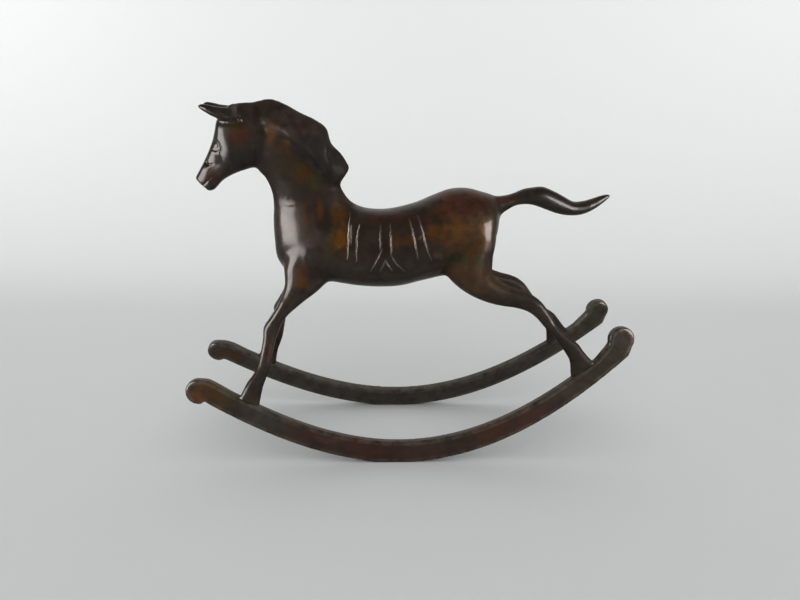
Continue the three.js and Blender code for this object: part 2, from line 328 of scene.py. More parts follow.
def top_edge(x, extra=0.0):
    """A point on the top edge of the bar, square above x on the running edge, raised by extra."""
    slope = running_edge(x + 0.5) - running_edge(x - 0.5)
    end = BAR_FACE_FRONT if x < 0 else BAR_FACE_REAR
    face = BAR_FACE_MIDDLE + (end - BAR_FACE_MIDDLE) * (x / RISE_REACH) ** 2
    reach = (face + extra) / math.hypot(1, slope)
    return x - slope * reach, running_edge(x) + reach


print("rise at the reach to the front and rear:", running_edge(-RISE_REACH), running_edge(RISE_REACH))

# %% Feet that run into the top edge
FRONT_FOOT = dict(start=-95, end=-84.3, bend_shift=2.1, foot_shift=2.1, slide_from=94, slide_to=64)
HIND_FOOT = dict(start=104.8, end=116.3, bend_shift=-3.6, foot_shift=-2.0, slide_from=106, slide_to=94)
FOOT_HEIGHT = 46
FOOT_HALF_WIDTH = 2.6
FOOT_ABOVE = 0.9
FOOT_SUNK = -1.2
BRAZE_SPREAD = 1.3
BRAZE_FLARE = 0.25


def foot_row(foot, shift, raised, spread):
    """One slice of the foot, raised above the bar's top edge and spread by the braze."""
    low_x, low_h = top_edge(foot["start"] + shift - spread, raised)
    top_x, top_h = top_edge(foot["end"] + shift + spread, raised)
    across = TRACK_WIDTH / 2 - (low_h + top_h) / 2 * math.sin(LEAN)
    half = FOOT_HALF_WIDTH + BRAZE_FLARE * spread
    tall = math.cos(LEAN)
    return (top_x, top_h * tall, low_x, low_h * tall, across, half, 0, LEAN)


def eased(value, low, high):
    """0 below low, 1 above high, and smooth in between."""
    t = min(max((value - low) / (high - low), 0), 1)
    return t * t * (3 - 2 * t)


def slide_at(height, foot):
    """How far a right leg has slid at a height. The right legs were set a little closer together."""
    bend = foot["bend_shift"] * (1 - eased(height, foot["slide_to"], foot["slide_from"]))
    back = (foot["foot_shift"] - foot["bend_shift"]) * (1 - eased(height, FOOT_HEIGHT, foot["slide_to"]))
    return bend + back


def leg_rows(leg, foot, side):
    """The rows of a leg, down to the foot that sinks a little into its rocker."""
    shift = foot["foot_shift"] if side > 0 else 0
    rows = []
    for top_x, top_z, low_x, low_z, middle, half in leg:
        slide = slide_at((top_z + low_z) / 2, foot) if side > 0 else 0
        rows.append((top_x + slide, top_z, low_x + slide, low_z, middle, half, 0, 0))
    rows.append(foot_row(foot, shift, FOOT_ABOVE, 0))
    rows.append(foot_row(foot, shift, FOOT_SUNK, BRAZE_SPREAD))
    return rows


print("front foot:", [round(v, 1) for v in foot_row(FRONT_FOOT, 0, 0, 0)[:5]])

# %% [markdown]
# ## Locks that follow the mane
#
# The founder's pattern had a mane of flat, wavy locks. Locks repeat along a path, so they are made
# with Geometry Nodes: each guide curve becomes a thin tapering tube, and all of them are later melted
# into the casting. The tree has named inputs for the tube's size, so that the relief can be changed
# without touching the guides.

# %% A helper for nodes


def new_node(tree, kind, values, **settings):
    """A node with its settings. Each input gets a number, a colour or another node's output."""
    node = tree.nodes.new(kind)
    for name, value in settings.items():
        setattr(node, name, value)
    for name, value in values.items():
        if isinstance(value, bpy.types.NodeSocket):
            tree.links.new(value, node.inputs[name])
        else:
            node.inputs[name].default_value = value
    return node


# %% A node tree that turns guide curves into locks
LOCK_INPUTS = {
    "Geometry": "NodeSocketGeometry",
    "Lock radius": "NodeSocketFloat",
    "Points along": "NodeSocketInt",
    "Sides": "NodeSocketInt",
    "Material": "NodeSocketMaterial",
}
TAPER_START = 0.35
TAPER_FULL_AT = 0.45
TAPER_END = 0.15


def lock_tree():
    """Guide edges in, tapering tubes out, as real mesh with a material."""
    tree = bpy.data.node_groups.new("locks_along_guides", "GeometryNodeTree")
    for label, kind in LOCK_INPUTS.items():
        tree.interface.new_socket(label, in_out="INPUT", socket_type=kind)
    tree.interface.new_socket("Geometry", in_out="OUTPUT", socket_type="NodeSocketGeometry")
    given = tree.nodes.new("NodeGroupInput").outputs
    guides = new_node(tree, "GeometryNodeMeshToCurve", {"Mesh": given["Geometry"]}).outputs["Curve"]
    even = new_node(tree, "GeometryNodeResampleCurve", {"Curve": guides, "Count": given["Points along"]})
    along = tree.nodes.new("GeometryNodeSplineParameter").outputs["Factor"]
    taper = new_node(tree, "ShaderNodeFloatCurve", {"Value": along})
    curve = taper.mapping.curves[0]
    curve.points[0].location = (0, TAPER_START)
    curve.points[1].location = (1, TAPER_END)
    curve.points.new(TAPER_FULL_AT, 1.0)
    taper.mapping.update()
    circle = {"Radius": given["Lock radius"], "Resolution": given["Sides"]}
    tube = {
        "Curve": even.outputs["Curve"],
        "Profile Curve": new_node(tree, "GeometryNodeCurvePrimitiveCircle", circle).outputs["Curve"],
        "Scale": taper.outputs["Value"],
        "Fill Caps": True,
    }
    swept = new_node(tree, "GeometryNodeCurveToMesh", tube).outputs["Mesh"]
    real = new_node(tree, "GeometryNodeRealizeInstances", {"Geometry": swept}).outputs["Geometry"]
    finish = new_node(tree, "GeometryNodeSetMaterial", {"Geometry": real, "Material": given["Material"]})
    tree.links.new(finish.outputs["Geometry"], tree.nodes.new("NodeGroupOutput").inputs["Geometry"])
    return tree


LOCK_TREE = lock_tree()
print("lock tree nodes:", len(LOCK_TREE.nodes))

# %% Guides on the mane and the tail
MANE_LOCK_STARTS = (0.7, 1.9, 3.1, 4.3, 5.4, 6.4)
LOCK_SPAN = 2.1
LOCK_WAVE = 0.12
LOCK_FALL_START = 18
LOCK_FALL = 128
LOCK_FALL_EASE = 0.9
LOCK_RADIUS = 1.7
LOCK_SINK = 1.35
TAIL_STRAND_ANGLES = (35, 75, 115, 150)
STRAND_START = 2.6
STRAND_SPAN = 8.6
STRAND_WAVE = 12
STRAND_WAVE_RATE = 4
STRAND_RADIUS = 1.0
STRAND_SINK = 0.75
GUIDE_POINTS = {"lock": 14, "strand": 24}
TUBE_POINTS = 28
TUBE_SIDES = 10


def point_on_skin(rows, position, angle, side, sink):
    """A point on a skin: position along the rows, angle down from the top, sunk below the surface."""
    rows = [list(row) + [0] * (8 - len(row)) for row in rows]
    filled = rows_between(rows)
    at = min(position, len(rows) - 1) * SLICES
    low = min(int(at), len(filled) - 2)
    row = filled[low] + (filled[low + 1] - filled[low]) * (at - low)
    top_x, top_z, low_x, low_z, middle, half, droop, _ = row
    along = math.cos(angle)
    out = half * math.sin(angle) * (1 - droop * along)
    tall = math.hypot(top_x - low_x, top_z - low_z) / 2
    inward = 1 - sink / max(min(half, tall), 0.5)
    x = (top_x + low_x) / 2 + (top_x - low_x) / 2 * along * inward
    z = (top_z + low_z) / 2 + (top_z - low_z) / 2 * along * inward
    return (x, side * (middle + out * inward), z)


def guide_mesh(name, guides):
    """A mesh of loose edges, one chain for each guide, in metres."""
    points, edges = [], []
    for guide in guides:
        first = len(points)
        points += [((x - MIDDLE_OF_LENGTH) * MM, y * MM, z * MM) for x, y, z in guide]
        edges += [(k, k + 1) for k in range(first, len(points) - 1)]
    mesh = bpy.data.meshes.new(name)
    mesh.from_pydata(points, edges, [])
    return mesh


def mane_guides():
    """Locks that sweep back and down from the crest to the lip, on both sides."""
    guides = []
    for side in (-1, 1):
        for start in MANE_LOCK_STARTS:
            steps = np.linspace(0, 1, GUIDE_POINTS["lock"])
            sweep = [start + LOCK_SPAN * t + LOCK_WAVE * math.sin(2 * math.pi * t) for t in steps]
            fall = [math.radians(LOCK_FALL_START + LOCK_FALL * t ** LOCK_FALL_EASE) for t in steps]
            guides.append([point_on_skin(MANE, u, a, side, LOCK_SINK) for u, a in zip(sweep, fall)])
    return guides


def tail_guides():
    """Strands along the tail, a little wavy."""
    guides = []
    for side in (-1, 1):
        for angle in TAIL_STRAND_ANGLES:
            steps = np.linspace(0, 1, GUIDE_POINTS["strand"])
            waves = [STRAND_WAVE * math.sin(STRAND_WAVE_RATE * t + angle) for t in steps]
            around = [math.radians(angle + wave) for wave in waves]
            along = [STRAND_START + STRAND_SPAN * t for t in steps]
            guides.append([point_on_skin(TAIL, u, a, side, STRAND_SINK) for u, a in zip(along, around)])
    return guides


def locks(name, guides, radius):
    """The guides through the lock tree, as one plain mesh."""
    holder = bpy.data.objects.new(name, guide_mesh(name, guides))
    bpy.context.scene.collection.objects.link(holder)
    modifier = holder.modifiers.new("locks", "NODES")
    modifier.node_group = LOCK_TREE
    sockets = {s.name: s.identifier for s in LOCK_TREE.interface.items_tree if s.in_out == "INPUT"}
    modifier[sockets["Lock radius"]] = radius * MM
    modifier[sockets["Points along"]] = TUBE_POINTS
    modifier[sockets["Sides"]] = TUBE_SIDES
    evaluated = holder.evaluated_get(bpy.context.evaluated_depsgraph_get())
    mesh = bpy.data.meshes.new_from_object(evaluated)
    bpy.data.objects.remove(holder)
    return mesh


MANE_LOCKS = locks("mane_locks", mane_guides(), LOCK_RADIUS)
TAIL_STRANDS = locks("tail_strands", tail_guides(), STRAND_RADIUS)
print("lock faces:", len(MANE_LOCKS.polygons), "strand faces:", len(TAIL_STRANDS.polygons))

# %% [markdown]
# ## Melting the skins into one casting
#
# The skins overlap like clay pressed together. A voxel remesh turns overlapping closed skins into one
# even surface without seams, as the founder's wax was one piece. A short smoothing that keeps the
# volume takes away the grid's steps, and a longer one only near the joints makes soft transitions.

# %% Join and remesh
CASTING_VOXEL = 0.98
TRUNK_SQUARE = (2, 2, 2.1, 2.4, 2.2, 2, 2)
HEAD_SQUARE = (2.1, 3.2)
MANE_SQUARE = (2.0, 2.4)
FRONT_LEG_SQUARE = (3.2, 3.0)
HIND_LEG_SQUARE = (2.5, 3.0)


def outward(mesh):
    """Turns every closed skin of a mesh to face outwards."""
    work = bmesh.new()
    work.from_mesh(mesh)
    bmesh.ops.recalc_face_normals(work, faces=work.faces)
    work.to_mesh(mesh)
    work.free()
    return mesh


def mesh_of(name, points, faces):
    """A mesh in metres, in the shared frame, from points in mm along the rows' x."""
    points = (np.array(points) - (MIDDLE_OF_LENGTH, 0, 0)) * MM
    mesh = bpy.data.meshes.new(name)
    mesh.from_pydata(points.tolist(), [], faces)
    return outward(mesh)


def joined(name, meshes):
    """One mesh with all the skins in it."""
    work = bmesh.new()
    for mesh in meshes:
        work.from_mesh(mesh)
    whole = bpy.data.meshes.new(name)
    work.to_mesh(whole)
    work.free()
    return whole


def remeshed(mesh, voxel):
    """The mesh melted into one surface of even squares, voxel in mm."""
    holder = bpy.data.objects.new("melt", mesh)
    bpy.context.scene.collection.objects.link(holder)
    modifier = holder.modifiers.new("melt", "REMESH")
    modifier.mode = "VOXEL"
    modifier.voxel_size = voxel * MM
    modifier.adaptivity = 0
    evaluated = holder.evaluated_get(bpy.context.evaluated_depsgraph_get())
    whole = bpy.data.meshes.new_from_object(evaluated)
    bpy.data.objects.remove(holder)
    return whole


skins = [
    mesh_of("trunk", *skin(NECK_AND_TRUNK, domes=(3, 1.2), square=TRUNK_SQUARE)),
    mesh_of("head", *skin(HEAD, domes=(3, 0.8), square=HEAD_SQUARE)),
    mesh_of("mane", *skin(MANE, domes=(2, 1.2), square=MANE_SQUARE)),
    mesh_of("tail", *skin(TAIL, domes=(1, 0.9))),
    outward(MANE_LOCKS),
    outward(TAIL_STRANDS),
]
for side in (-1, 1):
    front_rows = leg_rows(FRONT_LEG, FRONT_FOOT, side)
    hind_rows = leg_rows(HIND_LEG, HIND_FOOT, side)
    skins.append(mesh_of("ear", *skin(EAR, side, (1, 0.8))))
    skins.append(mesh_of("front_leg", *skin(front_rows, side, (3, 0), FRONT_LEG_SQUARE)))
    skins.append(mesh_of("hind_leg", *skin(hind_rows, side, (3, 0), HIND_LEG_SQUARE)))
casting = remeshed(joined("casting", skins), CASTING_VOXEL)
print("casting:", len(casting.vertices), "points,", len(casting.polygons), "faces")

# %% Smoothing that keeps the volume, and soft joints
SMOOTH_ROUNDS = 8
SHRINK = 0.55
GROW_BACK = 0.57
SOFTEN_ROUNDS = 40
SOFTEN_EASE = 0.7
HALF_WAY = 0.5
JOINT_SOFTENING = [
    ((-61, 9, 101), 16),
    ((-56, 14, 113), 13),
    ((-68, 8, 112), 9),
    ((-50, 11, 99), 10),
    ((34, 12, 110), 20),
    ((22, 17, 111), 15),
    ((-84, 6, 171), 13),
    ((-91, 3, 192), 5),
    ((48, 5, 138), 14),
    ((-37, 0, 153), 8),
    ((-73, 6, 180), 7),
    ((-61, 8, 172), 8),
    ((-52, 8, 163), 8),
    ((-44, 8, 156), 8),
]


def positions(mesh):
    """All points of a mesh as an array in metres."""
    flat = np.empty(len(mesh.vertices) * 3)
    mesh.vertices.foreach_get("co", flat)
    return flat.reshape(-1, 3)


def put_back(mesh, points):
    """Writes an array of points into a mesh."""
    mesh.vertices.foreach_set("co", points.ravel())
    mesh.update()


def normals(mesh):
    """The unit normal at every point."""
    flat = np.empty(len(mesh.vertices) * 3)
    mesh.vertex_normals.foreach_get("vector", flat)
    return flat.reshape(-1, 3)


def pull_to_neighbours(mesh):
    """A function that gives each point's step towards the mean of its neighbours."""
    flat = np.empty(len(mesh.edges) * 2, dtype=np.int64)
    mesh.edges.foreach_get("vertices", flat)
    a, b = flat.reshape(-1, 2).T
    count = len(mesh.vertices)
    valence = np.maximum(np.bincount(a, minlength=count) + np.bincount(b, minlength=count), 1)

    def pull(values):
        total = np.empty_like(values)
        for axis in range(values.shape[1]):
            near = np.bincount(a, values[b, axis], count) + np.bincount(b, values[a, axis], count)
            total[:, axis] = near / valence - values[:, axis]
        return total

    return pull


def smooth_keeping_volume(mesh, rounds):
    """Each round shrinks a little and grows back, which takes away only the small steps."""
    pull = pull_to_neighbours(mesh)
    points = positions(mesh)
    for _ in range(rounds):
        points += SHRINK * pull(points)
        points -= GROW_BACK * pull(points)
    put_back(mesh, points)


def soften_joints(mesh, joints, rounds):
    """Smooths only near the joints, on both sides of the horse. Centres and reaches in mm."""
    pull = pull_to_neighbours(mesh)
    points = positions(mesh)
    weight = np.zeros(len(points))
    for (x, y, z), reach in joints:
        for side in (-1, 1):
            away = np.linalg.norm(points - np.array((x, side * y, z)) * MM, axis=1) / (reach * MM)
            weight = np.maximum(weight, np.clip(1 - away, 0, 1) ** SOFTEN_EASE)
    for _ in range(rounds):
        points += HALF_WAY * weight[:, None] * pull(points)
    put_back(mesh, points)


smooth_keeping_volume(casting, SMOOTH_ROUNDS)
soften_joints(casting, JOINT_SOFTENING, SOFTEN_ROUNDS)
print("softened joints:", len(JOINT_SOFTENING))

# %% [markdown]
# ## Muscles, cheeks and hollows
#
# Broad forms are raised or sunk like thumb marks in clay: each has a centre, a reach and a height, given
# for the right side and repeated on the left. They stay low, so that the outline remains the rows' own.

# %% Broad forms
BROAD_FORMS = [
    ((-90, 7, 171), 6.0, 0.6),
    ((-103.5, 5, 174.5), 2.6, -0.45),
    ((-109.5, 4, 160), 3.5, 0.35),
    ((-105.0, 4, 155), 3.0, -0.5),
    ((-100.5, 5.5, 184), 4.0, 0.35),
    ((-62, 13, 112), 9.0, 0.5),
    ((-52, 15, 115), 6.0, 0.8),
    ((-44, 16, 108), 9.0, -0.5),
    ((-50, 9, 150), 7.0, -0.4),
    ((-71, 8, 137), 7.0, 0.3),
    ((22, 20, 118), 7.0, -0.5),
    ((38, 19, 130), 8.0, 0.5),
    ((40, 14, 134), 6.5, 0.8),
    ((43, 13, 119), 6.0, -0.5),
]


def raise_forms(mesh, forms):
    """Raises or sinks the surface around each centre along its normal, on both sides, in mm."""
    points = positions(mesh)
    along = normals(mesh)
    lift = np.zeros(len(points))
    for (x, y, z), reach, height in forms:
        for side in (-1, 1):
            away = np.linalg.norm(points - np.array((x, side * y, z)) * MM, axis=1)
            lift += height * MM * np.exp(-(away / (reach * MM)) ** 2)
    put_back(mesh, points + along * lift[:, None])


raise_forms(casting, BROAD_FORMS)
print("broad forms:", len(BROAD_FORMS))

# %% [markdown]
# ## The graver's lines
#
# The saddle is only drawn on the flank with a graver: two girths in front, two behind, and a pair of
# straps that split at the foot. The cuts are narrower than the casting's squares, so the surface near
# them is divided first. Each line is a few points on the flank, seen square from the side. A ray
# finds the surface under each point, and everything close to the line is pressed in.

# %% Lines of the saddle and the head, as x and z in mm
SADDLE_LINES = [
    ([(-33.7, 140.2), (-34.6, 128.5), (-35.5, 115.9)], 1.0),
    ([(-32.9, 134.3), (-33.2, 128.5), (-33.6, 124.0)], 0.7),
    ([(-28.4, 134.6), (-30.1, 127.5), (-30.6, 114.6)], 0.85),
    ([(-17.4, 134.2), (-17.7, 128.0), (-17.6, 120.8)], 0.8),
    ([(-16.4, 122.6), (-19.4, 116.5), (-22.9, 109.2)], 0.8),
    ([(-12.3, 135.0), (-12.0, 127.9), (-11.6, 118.0)], 0.9),
    ([(-11.5, 119.0), (-9.1, 115.0), (-3.6, 109.0)], 0.8),
    ([(-18.1, 109.0), (-16.2, 113.0), (-14.9, 116.5)], 0.6),
    ([(-14.9, 116.5), (-13.0, 113.5), (-10.9, 110.0)], 1.0),
    ([(-2.1, 137.4), (0.0, 129.5), (3.0, 116.6)], 1.0),
    ([(2.4, 139.6), (4.1, 133.9), (7.0, 124.4), (10.3, 116.0)], 1.0),
    ([(2.9, 127.6), (4.3, 129.9)], 0.6),
]
SADDLE_EDGE = [(-32.4, 136.0), (-26.9, 134.4), (-18.9, 134.1), (-11.9, 135.0), (-2.8, 136.6)]
COLLAR_LINE = [(-74.5, 143.2), (-67.5, 143.8), (-62.2, 144.8), (-56.8, 147.2), (-50.5, 147.0)]
HEAD_LINES = [
    ([(-105.9, 175.4), (-103.9, 176.6), (-101.7, 175.2), (-100.6, 172.6), (-101.5, 169.2)], 0.9),
    ([(-105.6, 171.8), (-103.4, 171.4), (-101.4, 173.0)], 0.7),
    ([(-110.2, 166.0), (-108.8, 164.0), (-105.6, 164.4)], 0.7),
    ([(-113.0, 151.7), (-110.4, 154.2), (-107.0, 157.2)], 0.6),
    ([(-94.9, 196.2), (-92.4, 190.8), (-89.2, 186.2)], 1.6),
    ([(-107.6, 194.2), (-103.0, 192.0), (-98.0, 189.6)], 0.35),
]
SADDLE_CUT = dict(width=0.34, depth=0.34)
SADDLE_EDGE_CUT = dict(width=0.8, depth=0.05)
COLLAR_CUT = dict(width=1.2, depth=0.12)
HEAD_CUT = dict(width=0.55, depth=0.45)
CUT_POINTS = 60
print("cuts on the flank:", len(SADDLE_LINES), "cuts on the head:", len(HEAD_LINES))

# %% Finding the lines on the surface
TREMBLE = 0.10
TREMBLE_RATE = 0.45
QUICK_TREMBLE = 0.05
QUICK_TREMBLE_RATE = 2.7
RAY_START = 60


def hand_drawn(line, count=CUT_POINTS):
    """A curve through the points of a line, with the slight unsteadiness of a hand."""
    if len(line) == 2:
        line = [line[0], tuple((a + b) / 2 for a, b in zip(*line)), line[1]]
    path = rows_between(line, count // (len(line) - 1))
    phase = np.arange(len(path)) * TREMBLE_RATE + line[0][0]
    path[:, 0] += TREMBLE * np.sin(phase) + QUICK_TREMBLE * np.sin(QUICK_TREMBLE_RATE * phase)
    return path


def on_surface(tree, line, side):
    """The points where a line, seen square from the side, meets the surface."""
    found = []
    for x, z in hand_drawn(line):
        hit = tree.ray_cast(Vector((x, side * RAY_START, z)) * MM, Vector((0, -side, 0)))
        if hit[0] is not None:
            found.append(hit[0])
    return found


def lines_on_both_sides(mesh, lines):
    """The surface points of all the lines, on the left and on the right, each with its strength."""
    faces = [tuple(face.vertices) for face in mesh.polygons]
    tree = BVHTree.FromPolygons([tuple(point) for point in positions(mesh)], faces)
    return [(on_surface(tree, line, side), strength) for line, strength in lines for side in (-1, 1)]


def finder(spots):
    """A search tree that finds the spot nearest to a point."""
    near = KDTree(len(spots))
    for k, spot in enumerate(spots):
        near.insert(spot, k)
    near.balance()
    return near


def divide_near(mesh, spots, reach, cuts):
    """Divides the squares within reach, in mm, of the spots."""
    near = finder(spots)
    work = bmesh.new()
    work.from_mesh(mesh)
    chosen = set()
    for vertex in work.verts:
        if near.find(vertex.co)[2] < reach * MM:
            chosen.update(edge for face in vertex.link_faces for edge in face.edges)
    bmesh.ops.subdivide_edges(work, edges=list(chosen), cuts=cuts, use_grid_fill=True)
    bmesh.ops.triangulate(work, faces=[f for f in work.faces if len(f.verts) > 4])
    work.to_mesh(mesh)
    work.free()


CUT_BOX_MARGIN = 2
END_TAPER = 0.25
TAPER_EASE = 0.6
NARROWEST = 0.6


def engrave(mesh, paths, width, depth):
    """Presses a cut along each path, tapered at its ends, and returns how deep each point lies, 0 to 1."""
    points = positions(mesh)
    along = normals(mesh)
    mask = np.zeros(len(points))
    for path, strength in paths:
        near = finder(path)
        box = np.array([tuple(p) for p in path])
        low, high = box.min(0) - CUT_BOX_MARGIN * MM, box.max(0) + CUT_BOX_MARGIN * MM
        inside = np.all((points > low) & (points < high), axis=1)
        for k in np.flatnonzero(inside):
            _, at, away = near.find(points[k])
            middle = math.sin(math.pi * at / max(len(path) - 1, 1)) ** TAPER_EASE
            taper = END_TAPER + (1 - END_TAPER) * middle
            reach = width * (NARROWEST + (1 - NARROWEST) * taper) * MM
            mask[k] = max(mask[k], strength * taper * math.exp(-(away / reach) ** 2))
    put_back(mesh, points - along * (mask * depth * MM)[:, None])
    return mask


saddle_paths = lines_on_both_sides(casting, SADDLE_LINES)
edge_paths = lines_on_both_sides(casting, [(SADDLE_EDGE, 1.0)])
collar_paths = lines_on_both_sides(casting, [(COLLAR_LINE, 1.0)])
head_paths = lines_on_both_sides(casting, HEAD_LINES)
fine_spots = [p for path, _ in saddle_paths + head_paths for p in path]
broad_spots = [p for path, _ in edge_paths + collar_paths for p in path]
divide_near(casting, broad_spots, reach=1.5, cuts=1)
divide_near(casting, fine_spots, reach=0.75, cuts=3)
print("casting divided:", len(casting.vertices), "points,", len(casting.polygons), "faces")

# %% Cutting
saddle_mask = engrave(casting, saddle_paths, **SADDLE_CUT)
engrave(casting, edge_paths, **SADDLE_EDGE_CUT)
engrave(casting, collar_paths, **COLLAR_CUT)
head_mask = engrave(casting, head_paths, **HEAD_CUT)
print("deepest cut in mm:", SADDLE_CUT["depth"], "on the flank,", HEAD_CUT["depth"], "on the head")

# %% Eyes and nostrils
SMALL_FORMS = [
    ((-104.2, 5.2, 173.8), 2.0, -0.45),
    ((-104.2, 4.9, 173.8), 0.9, 0.85),
    ((-109.4, 4.2, 164.4), 1.1, -0.7),
    ((-111.0, 2.5, 151.6), 0.9, -0.6),
    ((-61.3, 7.0, 189.4), 0.9, -0.4),
    ((-75.3, 3.0, 196.4), 0.9, -0.35),
]
raise_forms(casting, SMALL_FORMS)
print("small forms:", len(SMALL_FORMS))

# %% Crests, hollows and the graver's mask as attributes
CREST_ROUNDS = 24
HEAD_CUT_SHINE = 0.25


def crests(mesh, rounds):
    """How far each point stands out of its surroundings, in mm: above 0 on edges, below 0 in hollows."""
    pull = pull_to_neighbours(mesh)
    points = positions(mesh)
    calm = points.copy()
    for _ in range(rounds):
        calm += HALF_WAY * pull(calm)
    return np.einsum("ij,ij->i", points - calm, normals(mesh)) / MM


def store(mesh, name, values):
    """Keeps one number per point in the mesh, for the material to read."""
    layer = mesh.attributes.new(name, "FLOAT", "POINT")
    layer.data.foreach_set("value", np.asarray(values, dtype=np.float32))


store(casting, "crest", crests(casting, CREST_ROUNDS))
store(casting, "graver", np.maximum(saddle_mask, HEAD_CUT_SHINE * head_mask))
casting.shade_smooth()
print("attributes:", [a.name for a in casting.attributes if a.name in ("crest", "graver")])

# %% [markdown]
# ## The rockers
#
# Each rocker is a flat bar cut on edge. Its outline follows the rule above: the running edge, round the
# rear scroll, back along the top edge and round the front scroll. It is cut flat, melted to even
# squares, and its edges are worn round. Then it is leaned in and moved to its side.

# %% Outline of a rocker in its own plane
KNOB_RADIUS = {-1: 7.2, 1: 6.6}
FRONT_KNOB = (-111.8, 42.3)
REAR_KNOB = (124.4, 72.9)
BAR_START = -106
BAR_END = 129
REAR_NOTCH = (116.6, 69.0)
FRONT_NOTCH = (-102.0, 46.8)
FRONT_UNDER_NOTCH = (-108.8, 36.9)
FRONT_SHOULDER_X = -106.0
SHOULDER_BELOW_TOP = 0.6
REAR_SCROLL = dict(start=-28, end=196, count=40)
FRONT_SCROLL = dict(start=88, end=284, count=36)
TOP_EDGE_FROM = 118
TOP_EDGE_TO = -101
OUTLINE_STEP = 1.0
FLAT_FADE = 8.6


def worn_edge(x):
    """The running edge with its short worn flat, which fades out over FLAT_FADE."""
    front, rear = REST_FLAT
    if front <= x <= rear:
        return 0.0
    end = front if x < front else rear
    fade = max(1 - abs(x - end) / FLAT_FADE, 0)
    return running_edge(x) - running_edge(end) * fade


def arc(centre, radius, start, end, count):
    """Points on a circle, angles in degrees."""
    angles = np.radians(np.linspace(start, end, count))
    return [(centre[0] + radius * math.cos(a), centre[1] + radius * math.sin(a)) for a in angles]


def rocker_outline(side):
    """The outline, anticlockwise from the front end of the running edge, and how many points run under."""
    radius = KNOB_RADIUS[side]
    under = [(x, worn_edge(x)) for x in np.arange(BAR_START, BAR_END + OUTLINE_STEP / 2, OUTLINE_STEP)]
    rear = arc(REAR_KNOB, radius, **REAR_SCROLL) + [REAR_NOTCH]
    top = [top_edge(x) for x in np.arange(TOP_EDGE_FROM, TOP_EDGE_TO, -OUTLINE_STEP)]
    shoulder = [FRONT_NOTCH, (FRONT_SHOULDER_X, FRONT_KNOB[1] + radius - SHOULDER_BELOW_TOP)]
    front = arc(FRONT_KNOB, radius, **FRONT_SCROLL) + [FRONT_UNDER_NOTCH]
    return under + rear + top + shoulder + front, len(under)


print("outline points:", len(rocker_outline(-1)[0]))

# %% Cutting, wearing and leaning the bars
ROCKER_VOXEL = 0.55
EDGE_WEAR_ROUNDS = 7


def flat_bar(side):
    """The bar in its own plane: x along, y through its thickness, z up the face, in metres."""
    outline, running = rocker_outline(side)
    half = BAR_THICKNESS / 2
    points = []
    for out in (-half, half):
        for k, (x, h) in enumerate(outline):
            dressed = -out * math.tan(LEAN) if k < running else 0
            points.append((x, out, h + dressed))
    n = len(outline)
    faces = [tuple(range(n)), tuple(range(2 * n - 1, n - 1, -1))]
    faces += [(k, n + k, n + (k + 1) % n, (k + 1) % n) for k in range(n)]
    bar = mesh_of("bar", points, faces)
    work = bmesh.new()
    work.from_mesh(bar)
    bmesh.ops.triangulate(work, faces=[f for f in work.faces if len(f.verts) > 4])
    work.to_mesh(bar)
    work.free()
    return bar


def lean_bar(mesh, side):
    """Turns the flat bar into its place on one side."""
    points = positions(mesh)
    out, h = points[:, 1].copy(), points[:, 2].copy()
    across = TRACK_WIDTH * MM / 2 - h * math.sin(LEAN) + out * math.cos(LEAN)
    points[:, 1] = side * across
    points[:, 2] = h * math.cos(LEAN) + out * math.sin(LEAN)
    put_back(mesh, points)
    if side < 0:
        mesh.flip_normals()


def rocker_mesh(name, side):
    """One finished rocker."""
    bar = remeshed(flat_bar(side), ROCKER_VOXEL)
    bar.name = name
    pull = pull_to_neighbours(bar)
    points = positions(bar)
    for _ in range(EDGE_WEAR_ROUNDS):
        points += HALF_WAY * pull(points)
    put_back(bar, points)
    lean_bar(bar, side)
    store(bar, "crest", crests(bar, CREST_ROUNDS))
    bar.shade_smooth()
    return bar


rockers = {"left": rocker_mesh("left_bar", -1), "right": rocker_mesh("right_bar", 1)}
for name, mesh in rockers.items():
    print(name, "rocker:", len(mesh.polygons), "faces")

# %% [markdown]
# ## Patina
#
# Old brass of this kind was stained brown-black and waxed. Where hands and cloths rubbed it, the stain
# is thin and the metal glows through it: amber on the shoulder and the hip, olive or red around them.
# Four effects are used by every material, so each is a node group: mottling, a warm patch with a ragged
# border, wear on the crests, and the skin of a casting. The groups give masks and a height only; the
# shader stays in the material. Where the wax is gone, a dull list takes away the gloss.

# %% Helpers for shader groups


def group_with(name, inputs, output):
    """An empty shader group with a Vector input, inputs with their values, and one output."""
    group = bpy.data.node_groups.new(name, "ShaderNodeTree")
    group.interface.new_socket("Vector", in_out="INPUT", socket_type="NodeSocketVector")
    for label, value in inputs.items():
        kind = "NodeSocketVector" if isinstance(value, tuple) else "NodeSocketFloat"
        socket = group.interface.new_socket(label, in_out="INPUT", socket_type=kind)
        socket.default_value = value
    group.interface.new_socket(output, in_out="OUTPUT", socket_type="NodeSocketFloat")
    return group, group.nodes.new("NodeGroupInput").outputs


def finished(group, value):
    """Sends the value out of the group."""
    group.links.new(value, group.nodes.new("NodeGroupOutput").inputs[0])
    print("group:", group.name)
    return group


def noise_node(tree, place, scale, detail=2.0, roughness=0.5):
    """A noise texture at a place."""
    values = {"Vector": place, "Scale": scale, "Detail": detail, "Roughness": roughness}
    return new_node(tree, "ShaderNodeTexNoise", values)


def remap(tree, value, low, high, to=(0.0, 1.0), kind="SMOOTHSTEP"):
    """A value between low and high, moved to the range given by to."""
    values = {"Value": value, "From Min": low, "From Max": high, "To Min": to[0], "To Max": to[1]}
    return new_node(tree, "ShaderNodeMapRange", values, interpolation_type=kind).outputs["Result"]


def calculate(tree, operation, first, second=0.0):
    """The output of one Math node."""
    return new_node(tree, "ShaderNodeMath", {0: first, 1: second}, operation=operation).outputs["Value"]


# %% Group: mottling


